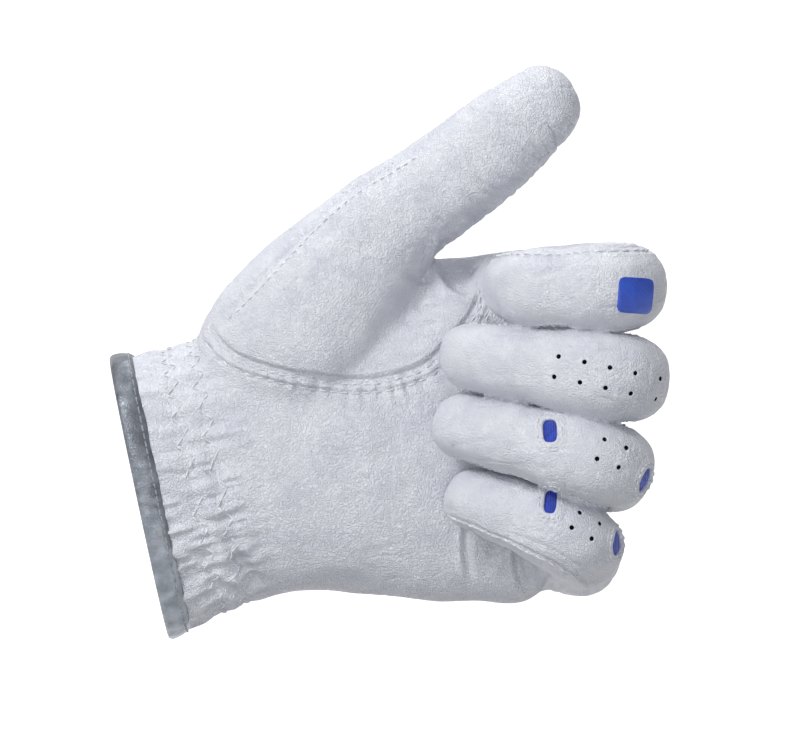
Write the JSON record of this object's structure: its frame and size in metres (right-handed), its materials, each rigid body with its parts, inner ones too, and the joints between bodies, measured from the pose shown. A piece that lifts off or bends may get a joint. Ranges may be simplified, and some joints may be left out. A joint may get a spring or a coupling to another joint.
{
  "type": "golf glove",
  "caption": "White leather golf glove for the left hand, worn shape with the thumb up, elastic wrist, silver cuff binding, blue stretch windows and a closing tab.",
  "frame": {"origin": "centre of the cuff's mouth", "axes": "+X from the cuff to the knuckles, +Y towards the back of the hand, +Z towards the thumb"},
  "size_m": [0.1302, 0.0741, 0.1327],
  "materials": {
    "leather": "white full-grain sheepskin, satin",
    "binding": "silver metallic leather, satin",
    "elastic": "ribbed white elastic",
    "stretch": "royal blue stretch knit, matt",
    "gusset_knit": "white stretch knit, matt",
    "loop": "white brushed loop",
    "hook": "white nylon hooks"
  },
  "bodies": {
    "hand": {"palm_panel": "leather", "back_panel": "leather", "thumb_panel": "leather", "thumb_back_panel": "leather", "thumb_gusset": "leather", "cuff_binding": "binding", "wrist_elastic": "elastic", "slit_gusset": "gusset_knit", "loop_patch": "loop", "tab_anchor": "leather", "thumb_root_sleeve": "leather", "index_root_sleeve": "leather", "middle_root_sleeve": "leather", "ring_root_sleeve": "leather", "little_root_sleeve": "leather"},
    "index_lower": {"index_lower_back": "leather", "index_lower_front": "leather", "index_knuckle_sleeve": "leather"},
    "index_middle": {"index_middle_back": "leather", "index_middle_front": "leather", "index_joint_sleeve": "leather"},
    "index_tip": {"index_tip_back": "leather", "index_tip_front": "leather"},
    "middle_lower": {"middle_lower_back": "leather", "middle_lower_front": "leather", "middle_knuckle_sleeve": "leather"},
    "middle_middle": {"middle_middle_back": "leather", "middle_middle_front": "leather", "middle_joint_sleeve": "leather"},
    "middle_tip": {"middle_tip_back": "leather", "middle_tip_front": "leather"},
    "ring_lower": {"ring_lower_back": "leather", "ring_lower_front": "leather", "ring_knuckle_sleeve": "leather", "ring_knuckle_window": "stretch"},
    "ring_middle": {"ring_middle_back": "leather", "ring_middle_front": "leather", "ring_joint_sleeve": "leather", "ring_joint_window": "stretch"},
    "ring_tip": {"ring_tip_back": "leather", "ring_tip_front": "leather"},
    "little_lower": {"little_lower_back": "leather", "little_lower_front": "leather", "little_knuckle_sleeve": "leather", "little_knuckle_window": "stretch"},
    "little_middle": {"little_middle_back": "leather", "little_middle_front": "leather", "little_joint_sleeve": "leather", "little_joint_window": "stretch"},
    "little_tip": {"little_tip_back": "leather", "little_tip_front": "leather"},
    "thumb_lower": {"thumb_lower_front": "leather", "thumb_lower_back": "leather", "thumb_joint_sleeve": "leather"},
    "thumb_tip": {"thumb_tip_front": "leather", "thumb_tip_back": "leather"},
    "tab": {"closing_tab": "leather", "hook_patch": "hook"}
  },
  "joints": [
    {"name": "index_root", "type": "hinge", "parent": "hand", "child": "index_lower", "pos_m": [0.10779, -0.00281, 0.0502], "axis": [0, -0.0349, 0.9994], "range_deg": [0, 88], "deforming": ["index_root_sleeve"]},
    {"name": "index_knuckle", "type": "hinge", "parent": "index_lower", "child": "index_middle", "pos_m": [0.10891, -0.03939, 0.04892], "axis": [0, -0.0349, 0.9994], "range_deg": [0, 102], "deforming": ["index_knuckle_sleeve"]},
    {"name": "index_joint", "type": "hinge", "parent": "index_middle", "child": "index_tip", "pos_m": [0.08815, -0.03766, 0.04899], "axis": [0, -0.0349, 0.9994], "range_deg": [0, 58], "deforming": ["index_joint_sleeve"]},
    {"name": "middle_root", "type": "hinge", "parent": "hand", "child": "middle_lower", "pos_m": [0.10881, -0.00281, 0.02871], "axis": [0.1305, -0.0175, 0.9913], "range_deg": [0, 88], "deforming": ["middle_root_sleeve"]},
    {"name": "middle_knuckle", "type": "hinge", "parent": "middle_lower", "child": "middle_middle", "pos_m": [0.10929, -0.03986, 0.02799], "axis": [0.1305, -0.0175, 0.9913], "range_deg": [0, 112], "deforming": ["middle_knuckle_sleeve"]},
    {"name": "middle_joint", "type": "hinge", "parent": "middle_middle", "child": "middle_tip", "pos_m": [0.08699, -0.03523, 0.03101], "axis": [0.1305, -0.0175, 0.9913], "range_deg": [0, 24], "deforming": ["middle_joint_sleeve"]},
    {"name": "ring_root", "type": "hinge", "parent": "hand", "child": "ring_lower", "pos_m": [0.10494, -0.0028, 0.00669], "axis": [0.2753, 0.0523, 0.9599], "range_deg": [0, 88], "deforming": ["ring_root_sleeve"]},
    {"name": "ring_knuckle", "type": "hinge", "parent": "ring_lower", "child": "ring_middle", "pos_m": [0.10601, -0.03717, 0.00826], "axis": [0.2753, 0.0523, 0.9599], "range_deg": [0, 110], "deforming": ["ring_knuckle_sleeve"]},
    {"name": "ring_joint", "type": "hinge", "parent": "ring_middle", "child": "ring_tip", "pos_m": [0.08571, -0.03374, 0.01389], "axis": [0.2753, 0.0523, 0.9599], "range_deg": [0, 23], "deforming": ["ring_joint_sleeve"]},
    {"name": "little_root", "type": "hinge", "parent": "hand", "child": "little_lower", "pos_m": [0.09773, -0.00377, -0.01396], "axis": [0.4174, 0.1564, 0.8951], "range_deg": [0, 88], "deforming": ["little_root_sleeve"]},
    {"name": "little_knuckle", "type": "hinge", "parent": "little_lower", "child": "little_middle", "pos_m": [0.09976, -0.02987, -0.01035], "axis": [0.4174, 0.1564, 0.8951], "range_deg": [0, 110], "deforming": ["little_knuckle_sleeve"]},
    {"name": "little_joint", "type": "hinge", "parent": "little_middle", "child": "little_tip", "pos_m": [0.08528, -0.02819, -0.00388], "axis": [0.4174, 0.1564, 0.8951], "range_deg": [0, 20], "deforming": ["little_joint_sleeve"]},
    {"name": "thumb_root", "type": "hinge", "parent": "hand", "child": "thumb_lower", "pos_m": [0.06045, -0.006, 0.06597], "axis": [0.6331, 0.2079, -0.7456], "range_deg": [0, 40], "deforming": ["thumb_root_sleeve"]},
    {"name": "thumb_joint", "type": "hinge", "parent": "thumb_lower", "child": "thumb_tip", "pos_m": [0.081, -0.0055, 0.0803], "axis": [0.6022, 0.2079, -0.7708], "range_deg": [0, 65], "deforming": ["thumb_joint_sleeve"]},
    {"name": "tab_hinge", "type": "hinge", "parent": "hand", "child": "tab", "pos_m": [0.01716, 0.01844, 0.02343], "axis": [0.9518, -0.0901, 0.2932], "range_deg": [0, 110]}
  ],
  "couplings": [
    {"joint": "index_joint", "follows": "index_knuckle", "ratio": 0.56863},
    {"joint": "middle_joint", "follows": "middle_knuckle", "ratio": 0.21429},
    {"joint": "ring_joint", "follows": "ring_knuckle", "ratio": 0.20909},
    {"joint": "little_joint", "follows": "little_knuckle", "ratio": 0.18182}
  ]
}
